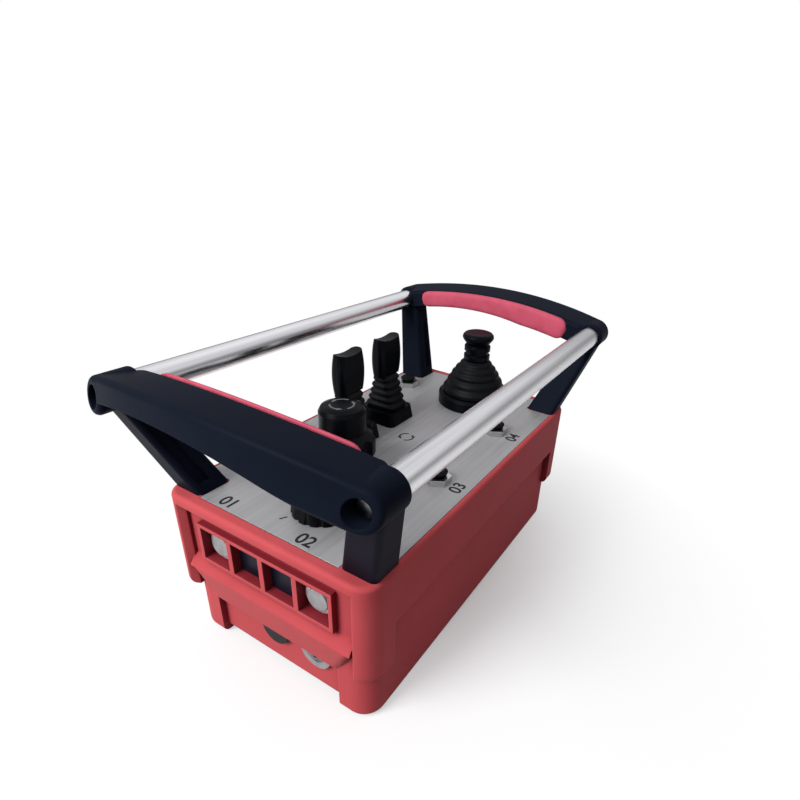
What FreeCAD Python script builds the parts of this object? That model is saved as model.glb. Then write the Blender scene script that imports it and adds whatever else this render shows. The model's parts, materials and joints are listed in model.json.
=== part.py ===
import FreeCAD, Part
import math
import os

os.makedirs("parts", exist_ok=True)
V = FreeCAD.Vector
UP = V(0, 0, 1)
ALONG = V(1, 0, 0)
ACROSS = V(0, 1, 0)

# All sizes in millimetres. X runs along the case, the operator stands at -Y, Z is up from the feet.

# Control panel and its seal
panel_length = 262.0
panel_width = 150.0
panel_thickness = 2.0
gasket_thickness = 1.0
seal_width = 9.0
notch_clearance = 0.4
notch_radius = 3.0

# Lower case
rim_height = 107.0
end_overhang = 8.0
side_overhang = 4.0
case_corner_radius = 13.0
column_end_width = 15.0
column_side_width = 23.0
column_bottom = 39.5
column_end_radius = 5.0
column_chamfer = 4.0
rim_edge_radius = 3.0
field_recess = 6.0
field_top_drop = 5.0
field_height = 36.0
field_chamfer = 8.0
band_drop = 34.5
groove_height = 7.0
groove_fall = 2.5
groove_depth = 2.5
wall_inset = 5.0
lower_end_inset = 6.0
lower_corner_radius = 14.0
lower_edge_radius = 5.0
runner_width = 23.0
runner_height = 6.0
ledge_height = 34.5
ledge_inset = 4.5
ledge_half_width = 55.0
ledge_corner_radius = 9.0
ledge_edge_radius = 2.0
bib_inset = 10.0
floor_thickness = 10.0
lower_wall = 7.0
lower_cavity_height = 45.0
post_inset = 3.0

# Niche behind the hood for the two end fittings
niche_depth = 3.5
niche_half_width = 47.0
niche_top = 46.0

# Button bays in the end of the case
bay_pitch = 26.0
bay_width = 22.4
bay_height = 22.8
bay_depth = 8.5
bay_drop = 26.0
bay_frame_proud = 4.0
bay_border = 2.6
bay_ring_radius = 9.7
bay_ring_width = 2.2
bay_ring_height = 3.4
bay_button_proud = 5.0
bay_button_thickness = 3.0
bay_button_travel = 2.0
bay_stem_radius = 3.0
bay_switch_size = 14.0
bay_switch_depth = 12.0
bay_blank_thickness = 3.0

# End fittings: capped socket and key switch
fitting_height = 33.0
socket_y = 0.5
key_y = -32.0
fitting_radius = 11.5
fitting_barrel_radius = 9.0
fitting_barrel_length = 11.0
socket_flange = 1.5
socket_cap_thickness = 1.8
key_flange = 2.5
key_core_radius = 6.5
key_slot_length = 8.0
key_slot_width = 1.8
key_slot_depth = 1.5

# Brackets and guard tubes
leg_base_x = 22.0
leg_base_y = 23.0
leg_base_end_inset = 0.0
leg_base_side_overlap = 2.0
leg_top_x = 18.0
leg_top_y = 19.0
leg_corner_radius = 3.5
leg_lean_x = 24.0
leg_channel_width = 8.0
leg_channel_depth = 3.0
leg_channel_foot = 6.0
leg_channel_head = 20.0
tube_height = 65.0
tube_side_offset = 14.0
tube_radius = 8.0
tube_wall = 1.5
tube_seat = 9.0
boss_radius = 10.5
boss_depth = 24.0
boss_face_radius = 3.0
boss_mouth_radius = 1.8
bar_reach = 27.0
bar_depth = 30.0
bar_half_height = 11.0
bar_lean = 2.8
bar_top_fall = 3.5
bar_edge_radius = 3.5
bar_bow_out = 8.5
bar_bow_up = 8.5
arch_half_span = 80.0
arch_front_drop = 11.3
arch_middle_rise = 4.7
arch_rear_drop = 1.0
arch_tilt = 8.5
pad_thickness = 4.0
pad_height = 17.5
pad_half_span = 75.0
screw_radius = 3.0
screw_head_radius = 5.0
screw_head_height = 5.0
screw_length = 16.0
counterbore_radius = 6.5
counterbore_depth = 10.0
plug_length = 20.0
corner_bolt_radius = 3.0
corner_bolt_head_radius = 5.0
corner_bolt_head_height = 6.0
corner_bolt_recess = 8.0
corner_bolt_engagement = 16.0

# Paddle levers
paddle_y = 32.0
paddle_a_x = -20.0
paddle_b_x = 24.0
paddle_base_x = 31.0
paddle_base_y = 34.0
paddle_base_height = 10.5
paddle_base_taper = 1.5
paddle_slot_x = 17.0
paddle_slot_y = 27.0
paddle_pivot_depth = 8.0
paddle_pin_radius = 2.0
paddle_hub_radius = 5.0
paddle_stem_radius = 3.0
paddle_housing_depth = 32.0
paddle_housing_wall = 2.5
paddle_cap_bottom = 37.0
paddle_cap_top = 67.0
paddle_cap_x = 26.0
paddle_cap_y = 11.5
paddle_cap_taper = 1.2
paddle_saddle_sink = 2.5

# Two-axis joystick
joystick_from_end = 36.0
joystick_y = -9.0
joystick_base_radius = 30.0
joystick_base_height = 10.0
joystick_base_taper = 2.0
joystick_opening_radius = 20.0
joystick_pivot_depth = 14.0
joystick_housing_half = 24.0
joystick_housing_wall = 3.0
joystick_housing_depth = 32.0
gimbal_radius = 17.0
gimbal_wall = 5.0
gimbal_height = 8.0
gimbal_pin_radius = 2.0
joystick_hub_radius = 8.0
joystick_stem_radius = 4.0
joystick_knob_radius = 13.0
joystick_knob_foot_radius = 9.5
joystick_knob_bottom = 51.0
joystick_knob_top = 61.0
joystick_boot_split = 24.0
joystick_boot_top = 38.0
joystick_boot_mid_radius = 20.0
joystick_boot_wall = 1.5
joystick_neck_radius = 9.0
joystick_neck_ring_radius = 10.8
joystick_neck_ring_height = 3.6

# Emergency stop
stop_from_end = 75.0
stop_y = 7.0
stop_collar_radius = 15.0
stop_collar_height = 9.0
stop_plunger_radius = 9.0
stop_travel = 4.0
stop_skirt_bottom = 14.0
stop_skirt_height = 15.0
stop_skirt_radius = 21.0
stop_lobe_radius = 5.0
stop_lobes = 8
stop_shoulder = 5.0
stop_head_radius = 15.0
stop_head_height = 18.0
stop_spigot_radius = 6.0
stop_spigot_height = 12.0
stop_body_half = 15.0
stop_body_depth = 32.0

# Rotary selector
selector_from_end = 35.0
selector_y = -13.0
selector_radius = 20.0
selector_height = 24.0
selector_taper = 2.0
selector_flutes = 16
selector_flute_radius = 2.6
selector_flute_depth = 0.9
selector_shaft_radius = 5.0
selector_body_radius = 15.0
selector_body_depth = 24.0

# Sealed push-buttons
push_front_y = -51.6
push_rear_y = 55.0
push_first_x = -32.0
push_second_x = 53.0
push_end_distance = 43.0
push_nut_flats = 16.0
push_nut_height = 4.3
push_bush_radius = 5.5
push_stem_radius = 3.8
push_dome_radius = 6.4
push_dome_height = 2.4
push_dome_lift = 2.4
push_travel = 1.6
push_body_radius = 8.0
push_body_depth = 22.0

# Electronics and battery
board_length = 200.0
board_width = 96.0
board_thickness = 1.6
standoff_height = 24.0
standoff_radius = 4.0
standoff_inset = 8.0
radio_length = 44.0
radio_width = 30.0
radio_height = 6.0
radio_from_board_end = 40.0
radio_y = -20.0
antenna_radius = 2.5
antenna_length = 54.0
cover_length = 120.0
cover_width = 84.0
cover_thickness = 3.0
cover_radius = 6.0
cover_lip = 8.0
battery_height = 25.0
cover_screw_radius = 1.5
cover_screw_head = 2.8
cover_screw_sink = 1.6
cover_screw_length = 8.0

# Fits
slide_gap = 0.3
seat_gap = 0.1

# Derived levels and outlines
panel_half_x = panel_length / 2
panel_half_y = panel_width / 2
panel_under = rim_height + gasket_thickness
panel_top = panel_under + panel_thickness
case_half_x = panel_half_x + end_overhang
case_half_y = panel_half_y + side_overhang
lower_half_x = case_half_x - lower_end_inset
lower_half_y = case_half_y - wall_inset
bib_x = case_half_x - bib_inset
field_x = case_half_x - field_recess
field_top = rim_height - field_top_drop
field_bottom = field_top - field_height
belly_top = field_bottom - field_chamfer
runner_inner = lower_half_y - runner_width
floor_top = runner_height + floor_thickness
cavity_half_x = panel_half_x - seal_width
cavity_half_y = panel_half_y - seal_width
leg_x = panel_half_x - leg_base_end_inset - leg_base_x / 2
leg_y = panel_half_y + leg_base_side_overlap - leg_base_y / 2
leg_inner_x = leg_x - leg_base_x / 2
leg_inner_y = leg_y - leg_base_y / 2
tube_y = panel_half_y + tube_side_offset
tube_z = panel_top + tube_height
bar_face_x = panel_half_x + bar_reach
boss_inner_x = bar_face_x - boss_depth
tube_end_x = boss_inner_x + tube_seat
bay_front_x = field_x + bay_frame_proud
bay_floor_x = bay_front_x - bay_depth
bay_z = rim_height - bay_drop
joystick_x = panel_half_x - joystick_from_end
stop_x = stop_from_end - panel_half_x
selector_x = selector_from_end - panel_half_x
push_end_x = panel_half_x - push_end_distance
push_places = [
    (push_first_x, push_front_y),
    (push_second_x, push_front_y),
    (push_end_x, push_rear_y),
    (-push_end_x, push_rear_y),
]


def save(name, shape):
    shape.exportStep("parts/" + name + ".step")


def rounded_wire(half_x, half_y, radius, x, y, z):
    # Rounded rectangle in a horizontal plane, walked anticlockwise
    edges = []
    ends = []
    for turn, (sx, sy) in enumerate([(1, 1), (-1, 1), (-1, -1), (1, -1)]):
        cx = x + sx * (half_x - radius)
        cy = y + sy * (half_y - radius)
        points = []
        for step in range(3):
            angle = math.radians(90 * turn + 45 * step)
            points.append(V(cx + radius * math.cos(angle), cy + radius * math.sin(angle), z))
        edges.append(Part.Arc(points[0], points[1], points[2]).toShape())
        ends.append((points[0], points[2]))
    outline = []
    for turn in range(4):
        outline.append(edges[turn])
        start = ends[turn][1]
        finish = ends[(turn + 1) % 4][0]
        if start.distanceToPoint(finish) > 0.001:
            outline.append(Part.makeLine(start, finish))
    return Part.Wire(outline)


def rounded_block(half_x, half_y, radius, x, y, bottom, top):
    face = Part.Face(rounded_wire(half_x, half_y, radius, x, y, bottom))
    return face.extrude(V(0, 0, top - bottom))


def tapered_block(lower, upper, x, y, bottom, top):
    # lower and upper are (half_x, half_y, radius)
    wires = [
        rounded_wire(lower[0], lower[1], lower[2], x, y, bottom),
        rounded_wire(upper[0], upper[1], upper[2], x, y, top),
    ]
    return Part.makeLoft(wires, True, True)


def span(x_low, x_high, y_low, y_high, z_low, z_high):
    return Part.makeBox(x_high - x_low, y_high - y_low, z_high - z_low, V(x_low, y_low, z_low))


def rod(radius, start, finish):
    axis = finish.sub(start)
    return Part.makeCylinder(radius, axis.Length, start, axis)


def post(radius, x, y, bottom, top):
    return rod(radius, V(x, y, bottom), V(x, y, top))


def beam(radius, y, z, x_from, x_to):
    return rod(radius, V(x_from, y, z), V(x_to, y, z))


def turned(profile, x, y, base):
    # Solid of revolution about a vertical axis from (radius, height) points
    points = [V(r, 0, h) for r, h in profile]
    face = Part.Face(Part.makePolygon(points + [points[0]]))
    solid = face.revolve(V(0, 0, 0), UP, 360)
    solid.translate(V(x, y, base))
    return solid


def prism(points, axis):
    return Part.Face(Part.makePolygon(points + [points[0]])).extrude(axis)


def joined(shapes):
    return shapes[0].multiFuse(shapes[1:]).removeSplitter()


def group(shapes):
    return Part.makeCompound(shapes)


def four_corners(x, y):
    return [(sx * x, sy * y) for sx in (-1, 1) for sy in (-1, 1)]


# Lower case: belly, runners, end fields, side bands and corner columns around one cavity
lower_body = rounded_block(lower_half_x, lower_half_y, lower_corner_radius, 0, 0, 0, belly_top + 1)
lower_edges = [e for e in lower_body.Edges if e.BoundBox.ZMax < 0.01]
lower_body = lower_body.makeFillet(lower_edge_radius, lower_edges)
channel = span(-case_half_x, case_half_x, -runner_inner, runner_inner, -1, runner_height)
lower_body = lower_body.cut(channel)
for side in (-1, 1):
    under_hood = span(0, lower_end_inset + bib_inset, -runner_inner, runner_inner, -1, ledge_height)
    under_hood.translate(V(bib_x, 0, 0))
    if side < 0:
        under_hood = under_hood.mirror(V(0, 0, 0), ALONG)
    lower_body = lower_body.cut(under_hood)

column_inner_y = case_half_y - column_end_width
column_inner_x = case_half_x - column_side_width
belly = tapered_block(
    (case_half_x - ledge_inset, ledge_half_width, ledge_corner_radius),
    (case_half_x, column_inner_y + 1, ledge_corner_radius / 2),
    0, 0, ledge_height, belly_top)
belly_edges = [e for e in belly.Edges if e.BoundBox.ZMax < ledge_height + 0.01]
belly = belly.makeFillet(ledge_edge_radius, belly_edges)

rim_slope_top = field_top + 2
end_half = [
    V(case_half_x, 0, belly_top),
    V(field_x, 0, field_bottom),
    V(field_x, 0, field_top),
    V(case_half_x, 0, rim_slope_top),
    V(case_half_x, 0, panel_top),
]
end_profile = end_half + [V(-p.x, 0, p.z) for p in reversed(end_half)]
ends = prism(end_profile, V(0, 2 * column_inner_y + 2, 0))
ends.translate(V(0, -column_inner_y - 1, 0))

band_bottom = rim_height - band_drop
groove_bottom = band_bottom - groove_height
bands = span(-column_inner_x - 1, column_inner_x + 1, -case_half_y, case_half_y, band_bottom, panel_top)
walls = span(-column_inner_x - 1, column_inner_x + 1, -lower_half_y, lower_half_y,
             belly_top, band_bottom + 1)

hull = rounded_block(case_half_x, case_half_y, case_corner_radius, 0, 0, column_bottom, panel_top)
hull_edges = [e for e in hull.Edges if e.BoundBox.ZMax < column_bottom + 0.01]
hull = hull.makeFillet(column_end_radius, hull_edges)
column = hull.common(span(column_inner_x, case_half_x + 1, column_inner_y, case_half_y + 1,
                          0, panel_top + 1))
column = column.cut(prism([
    V(case_half_x - column_chamfer - 1, column_inner_y - 1, 0),
    V(case_half_x + 1, column_inner_y - 1, 0),
    V(case_half_x + 1, column_inner_y + column_chamfer + 1, 0),
], V(0, 0, rim_slope_top)))
columns = []
for x, y in four_corners(1, 1):
    corner = column
    if x < 0:
        corner = corner.mirror(V(0, 0, 0), ALONG)
    if y < 0:
        corner = corner.mirror(V(0, 0, 0), ACROSS)
    columns.append(corner)

bay_half_span = 1.5 * bay_pitch + bay_width / 2 + bay_border
bay_half_rise = bay_height / 2 + bay_border
bay_frame = span(-bay_front_x, -cavity_half_x, -bay_half_span, bay_half_span,
                 bay_z - bay_half_rise, bay_z + bay_half_rise)

case = joined([lower_body, belly, ends, walls, bands, bay_frame] + columns)
envelope = rounded_block(case_half_x, case_half_y, case_corner_radius, 0, 0, -1, panel_top)
envelope_edges = [e for e in envelope.Edges if e.BoundBox.ZMin > panel_top - 0.01]
case = case.common(envelope.makeFillet(rim_edge_radius, envelope_edges))

# Groove along each long side under the band, from column to column
groove = prism([
    V(-column_inner_x, case_half_y + 1, band_bottom),
    V(-column_inner_x, lower_half_y - groove_depth, band_bottom - groove_fall),
    V(-column_inner_x, lower_half_y, groove_bottom),
    V(-column_inner_x, case_half_y + 1, groove_bottom),
], V(2 * column_inner_x, 0, 0))
case = case.cut(groove).cut(groove.mirror(V(0, 0, 0), ACROSS))

# Pocket that lets the gasket and panel into the rim, stepped round the corner pads under the legs
pocket = span(-panel_half_x - notch_clearance, panel_half_x + notch_clearance,
              -panel_half_y - notch_clearance, panel_half_y + notch_clearance, rim_height, panel_top + 1)
for sx, sy in four_corners(1, 1):
    pad_half_x = case_half_x - leg_inner_x
    pad_half_y = case_half_y - leg_inner_y
    pocket = pocket.cut(rounded_block(pad_half_x, pad_half_y, notch_radius - notch_clearance,
                                      sx * case_half_x, sy * case_half_y, rim_height - 1, panel_top + 2))
case = case.cut(pocket)

post_x = leg_inner_x - post_inset
post_y = leg_inner_y - post_inset
upper_room = rounded_block(cavity_half_x, cavity_half_y, 6.0, 0, 0, lower_cavity_height, rim_height + 1)
lower_room = rounded_block(bib_x - lower_wall, cavity_half_y, 6.0, 0, 0,
                           floor_top, lower_cavity_height + 1)
room = upper_room.fuse(lower_room)
for x, y in four_corners(1, 1):
    corner_post = span(post_x, case_half_x, post_y, case_half_y, 0, rim_height + 2)
    if x < 0:
        corner_post = corner_post.mirror(V(0, 0, 0), ALONG)
    if y < 0:
        corner_post = corner_post.mirror(V(0, 0, 0), ACROSS)
    room = room.cut(corner_post)
case = case.cut(room)

niche = span(-bib_x - niche_depth, -bib_x, -niche_half_width, niche_half_width,
             ledge_height - 2, niche_top)
case = case.cut(niche)

bay_places = [(i - 1.5) * bay_pitch for i in range(4)]
button_places = [bay_places[3], bay_places[0]]
blank_places = [bay_places[1], bay_places[2]]
for y in bay_places:
    bay = span(-bay_front_x - 1, -bay_floor_x, y - bay_width / 2, y + bay_width / 2,
               bay_z - bay_height / 2, bay_z + bay_height / 2)
    case = case.cut(bay)
for y in button_places:
    case = case.cut(beam(bay_stem_radius + slide_gap, y, bay_z, -bay_floor_x - 1, -cavity_half_x + 1))
for y in (socket_y, key_y):
    hole = beam(fitting_barrel_radius + seat_gap, y, fitting_height, -bib_x - 1, -bib_x + lower_wall + 1)
    case = case.cut(hole)

bolt_places = four_corners(leg_x, leg_y - leg_base_side_overlap)
for x, y in bolt_places:
    case = case.cut(post(corner_bolt_radius + seat_gap, x, y, -1, panel_top + 1))
    case = case.cut(post(corner_bolt_head_radius + seat_gap, x, y, -1, corner_bolt_recess))

cover_seat = runner_height + cover_thickness
cover_opening = rounded_block(cover_length / 2 - cover_lip, cover_width / 2 - cover_lip, cover_radius,
                              0, 0, runner_height, floor_top + 1)
cover_recess = rounded_block(cover_length / 2 + slide_gap, cover_width / 2 + slide_gap, cover_radius,
                             0, 0, runner_height - 1, cover_seat)
case = case.cut(cover_opening).cut(cover_recess)
cover_screw_places = four_corners(cover_length / 2 - cover_lip / 2, cover_width / 2 - cover_lip / 2)
cover_screw_tip = runner_height + cover_screw_sink + cover_screw_length
for x, y in cover_screw_places:
    case = case.cut(post(cover_screw_radius + seat_gap, x, y, cover_seat - 1, cover_screw_tip + 0.2))
save("lower_case", case.removeSplitter())

# Battery cover, its screws and the battery pack standing on it
cover = rounded_block(cover_length / 2, cover_width / 2, cover_radius, 0, 0, runner_height, cover_seat)
cover_screws = []
for x, y in cover_screw_places:
    cover = cover.cut(post(cover_screw_head + seat_gap, x, y, runner_height - 1,
                           runner_height + cover_screw_sink))
    cover = cover.cut(post(cover_screw_radius + seat_gap, x, y, runner_height, cover_seat + 1))
    head = post(cover_screw_head, x, y, runner_height + 0.2, runner_height + cover_screw_sink)
    shank = post(cover_screw_radius, x, y, runner_height + 1, cover_screw_tip)
    cover_screws.append(head.fuse(shank).removeSplitter())
save("battery_cover", cover)
save("cover_screws", group(cover_screws))
pack_half_x = cover_length / 2 - cover_lip - slide_gap
pack_half_y = cover_width / 2 - cover_lip - slide_gap
save("battery_pack", rounded_block(pack_half_x, pack_half_y, cover_radius, 0, 0,
                                   cover_seat, cover_seat + battery_height))

# Main board on four standoffs, with the radio module and its rod antenna
board_bottom = floor_top + standoff_height
board_top = board_bottom + board_thickness
radio_x = radio_from_board_end - board_length / 2
standoff_places = four_corners(board_length / 2 - standoff_inset, board_width / 2 - standoff_inset)
save("main_board", span(-board_length / 2, board_length / 2, -board_width / 2, board_width / 2,
                        board_bottom, board_top))
standoffs = [post(standoff_radius, x, y, floor_top, board_bottom) for x, y in standoff_places]
save("board_standoffs", group(standoffs))
save("radio_module", span(radio_x - radio_length / 2, radio_x + radio_length / 2,
                          radio_y - radio_width / 2, radio_y + radio_width / 2,
                          board_top, board_top + radio_height))
antenna_z = board_top + antenna_radius
antenna_start = radio_x + radio_length / 2
save("antenna", beam(antenna_radius, radio_y, antenna_z, antenna_start, antenna_start + antenna_length))

# Panel outline: a plate whose corners are notched round the bracket legs
notch_x = leg_inner_x - notch_clearance
notch_y = leg_inner_y - notch_clearance


def notched_plate(bottom, top):
    plate = span(-panel_half_x, panel_half_x, -panel_half_y, panel_half_y, bottom, top)
    for sx, sy in four_corners(1, 1):
        reach_x = panel_half_x - notch_x + 20
        reach_y = panel_half_y - notch_y + 20
        cx = sx * (notch_x + reach_x / 2)
        cy = sy * (notch_y + reach_y / 2)
        notch = rounded_block(reach_x / 2, reach_y / 2, notch_radius, cx, cy, bottom - 1, top + 1)
        plate = plate.cut(notch)
    return plate


gasket_room = span(-cavity_half_x, cavity_half_x, -cavity_half_y, cavity_half_y,
                   rim_height - 1, panel_under + 1)
for x, y in four_corners(1, 1):
    corner = span(post_x, panel_half_x, post_y, panel_half_y, rim_height - 2, panel_under + 2)
    if x < 0:
        corner = corner.mirror(V(0, 0, 0), ALONG)
    if y < 0:
        corner = corner.mirror(V(0, 0, 0), ACROSS)
    gasket_room = gasket_room.cut(corner)
save("panel_gasket", notched_plate(rim_height, panel_under).cut(gasket_room))

panel = notched_plate(panel_under, panel_top)
for x in (paddle_a_x, paddle_b_x):
    panel = panel.cut(rounded_block(paddle_slot_x / 2, paddle_slot_y / 2, 4.0, x, paddle_y,
                                    panel_under - 1, panel_top + 1))
panel_holes = [
    (joystick_opening_radius, joystick_x, joystick_y),
    (stop_plunger_radius + slide_gap, stop_x, stop_y),
    (selector_shaft_radius + slide_gap, selector_x, selector_y),
]
for x, y in push_places:
    panel_holes.append((push_bush_radius + seat_gap, x, y))
for radius, x, y in panel_holes:
    panel = panel.cut(post(radius, x, y, panel_under - 1, panel_top + 1))
save("control_panel", panel)

# Brackets: a bowed crossbar on two leaning legs, bored for the guard tubes and their screws
bow = V(-bar_bow_out, 0, bar_bow_up)
rise = bow.Length
bow.normalize()
bend_axis = V(-bow.z, 0, bow.x).negative()
bend_radius = (tube_y ** 2 + rise ** 2) / (2 * rise)
bend_centre = V(-bar_face_x, 0, tube_z).sub(bow * (bend_radius - rise))
bend_half_deg = math.degrees(math.asin(tube_y / bend_radius))
pad_half_deg = math.degrees(math.asin(pad_half_span / bend_radius))


def bar_point(inward, height):
    # Point of the crossbar section at its middle, measured from the outer face centre
    return V(-bar_face_x - bar_bow_out + inward, 0, tube_z + bar_bow_up + height)


def rounded_polygon(points, radius):
    # Closed outline with each corner replaced by an arc of the given radius
    edges = []
    last = None
    first = None
    count = len(points)
    for i in range(count):
        here = points[i]
        back = points[i - 1].sub(here).normalize()
        ahead = points[(i + 1) % count].sub(here).normalize()
        half = back.getAngle(ahead) / 2
        set_back = radius / math.tan(half)
        middle = back.add(ahead).normalize()
        start = here.add(back * set_back)
        finish = here.add(ahead * set_back)
        peak = here.add(middle * (radius / math.sin(half) - radius))
        if last is None:
            first = start
        else:
            edges.append(Part.makeLine(last, start))
        edges.append(Part.Arc(start, peak, finish).toShape())
        last = finish
    edges.append(Part.makeLine(last, first))
    return Part.Face(Part.Wire(edges))


def bent(face, half_deg):
    solid = face.revolve(bend_centre, bend_axis, 2 * half_deg)
    solid.rotate(bend_centre, bend_axis, -half_deg)
    return solid


bar_section = rounded_polygon([
    bar_point(-bar_lean, -bar_half_height),
    bar_point(bar_lean, bar_half_height),
    bar_point(bar_depth, bar_half_height - bar_top_fall),
    bar_point(bar_depth, -bar_half_height + 2),
], bar_edge_radius)
arch = Part.Circle(V(-2 * bar_face_x, -arch_half_span, tube_z - arch_front_drop),
                   V(-2 * bar_face_x, 0, tube_z + arch_middle_rise),
                   V(-2 * bar_face_x, arch_half_span, tube_z - arch_rear_drop))
under_arch = Part.makeCylinder(arch.Radius, 2 * bar_face_x, arch.Center, ALONG)
under_arch.rotate(V(-bar_face_x, 0, tube_z), ACROSS, arch_tilt)
bar = bent(bar_section, bend_half_deg).cut(under_arch)

# Inner corners of the crossbar taken off past the ends of the grip pad
for side in (-1, 1):
    bar = bar.cut(prism([
        V(-boss_inner_x + 5, side * (pad_half_span + 3), tube_z - 2 * bar_half_height),
        V(-boss_inner_x - 2, side * (tube_y + 4), tube_z - 2 * bar_half_height),
        V(-boss_inner_x + 20, side * (tube_y + 4), tube_z - 2 * bar_half_height),
    ], V(0, 0, 4 * bar_half_height)))

face_normal = V(-2 * bar_half_height, 0, 2 * bar_lean)
face_normal.normalize()
bracket_parts = [bar]
for side in (-1, 1):
    boss = beam(boss_radius, side * tube_y, tube_z,
                -bar_face_x - bar_edge_radius - bar_lean, -boss_inner_x)
    turn = FreeCAD.Rotation(bend_axis, side * bend_half_deg)
    if turn.multVec(V(0, 0, 0).add(bow)).y * side < 0:
        turn = turn.inverted()
    outward = turn.multVec(face_normal)
    trim = Part.makeBox(80, 80, 40, V(-40, -40, 0))
    trim_place = V(-bar_face_x, side * tube_y, tube_z)
    trim.Placement = FreeCAD.Placement(trim_place, FreeCAD.Rotation(UP, outward))
    boss = boss.cut(trim)
    mouth = [e for e in boss.Edges if e.BoundBox.XMin > -boss_inner_x - 0.01]
    boss = boss.makeFillet(boss_mouth_radius, mouth)
    rim = [e for e in boss.Edges if e.BoundBox.XMax < -boss_inner_x - boss_depth / 2 and e.Closed]
    boss = boss.makeFillet(boss_face_radius, rim)
    bracket_parts.append(boss)
    foot = rounded_wire(leg_base_x / 2, leg_base_y / 2, leg_corner_radius,
                        -leg_x, side * leg_y, panel_top)
    top = rounded_wire(leg_top_x / 2, leg_top_y / 2, leg_corner_radius,
                       -leg_x - leg_lean_x, side * tube_y, tube_z)
    bracket_parts.append(Part.makeLoft([foot, top], True, True))
bracket = joined(bracket_parts)

# Channel down the inner side of each leg, following its lean
leg_rise = tube_z - panel_top
channel_rise = leg_rise - leg_channel_head - leg_channel_foot
for side in (-1, 1):
    lean = V(-leg_lean_x, side * (tube_y - leg_y), leg_rise) * (1 / leg_rise)
    foot = V(-leg_x - leg_channel_width / 4, side * leg_inner_y, panel_top).add(lean * leg_channel_foot)
    corners = []
    for along, across in ((-1, -1), (1, -1), (1, 1), (-1, 1)):
        corners.append(foot.add(V(along * leg_channel_width / 2, across * leg_channel_depth, 0)))
    bracket = bracket.cut(prism(corners, lean * channel_rise))

bore_floor_x = tube_end_x + seat_gap
head_seat_x = bar_face_x - counterbore_depth
for side in (-1, 1):
    y = side * tube_y
    bracket = bracket.cut(beam(tube_radius + seat_gap, y, tube_z, -boss_inner_x + 20, -bore_floor_x))
    bracket = bracket.cut(beam(screw_radius + seat_gap, y, tube_z, -boss_inner_x, -bar_face_x))
    bracket = bracket.cut(beam(counterbore_radius, y, tube_z, -head_seat_x, -bar_face_x - 10))
    blind = post(corner_bolt_radius + seat_gap, -leg_x, side * (leg_y - leg_base_side_overlap),
                 panel_top - 1, panel_top + corner_bolt_engagement + 0.5)
    bracket = bracket.cut(blind)
save("bracket_left", bracket)
save("bracket_right", bracket.mirror(V(0, 0, 0), ALONG))

pad_top = bar_half_height - bar_top_fall
pad_section = rounded_polygon([
    bar_point(bar_depth, pad_top),
    bar_point(bar_depth + pad_thickness, pad_top),
    bar_point(bar_depth + pad_thickness, pad_top - pad_height),
    bar_point(bar_depth, pad_top - pad_height),
], 1.2)
pad = bent(pad_section, pad_half_deg).cut(under_arch)
save("grip_pad_left", pad)
save("grip_pad_right", pad.mirror(V(0, 0, 0), ALONG))

# Guard tubes between the brackets, closed by threaded plugs and held by screws from outside
screw_tip_x = head_seat_x - screw_length
plugs = []
screws = []
for name, side in (("front", -1), ("rear", 1)):
    y = side * tube_y
    tube = beam(tube_radius, y, tube_z, -tube_end_x, tube_end_x)
    tube = tube.cut(beam(tube_radius - tube_wall, y, tube_z, -tube_end_x - 1, tube_end_x + 1))
    save("guard_tube_" + name, tube)
    for end in (-1, 1):
        plug = beam(tube_radius - tube_wall - seat_gap, y, tube_z,
                    end * tube_end_x, end * (tube_end_x - plug_length))
        hole = beam(screw_radius + seat_gap, y, tube_z, end * (tube_end_x + 1), end * (screw_tip_x - 0.5))
        plugs.append(plug.cut(hole))
        head = beam(screw_head_radius, y, tube_z,
                    end * (head_seat_x + screw_head_height), end * head_seat_x)
        shank = beam(screw_radius, y, tube_z, end * (head_seat_x + 1), end * screw_tip_x)
        screws.append(head.fuse(shank).removeSplitter())
save("tube_plugs", group(plugs))
save("tube_screws", group(screws))

corner_bolts = []
for x, y in bolt_places:
    head = post(corner_bolt_head_radius, x, y,
                corner_bolt_recess - corner_bolt_head_height, corner_bolt_recess)
    shank = post(corner_bolt_radius, x, y, corner_bolt_recess - 1, panel_top + corner_bolt_engagement)
    corner_bolts.append(head.fuse(shank).removeSplitter())
save("corner_bolts", group(corner_bolts))


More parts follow.
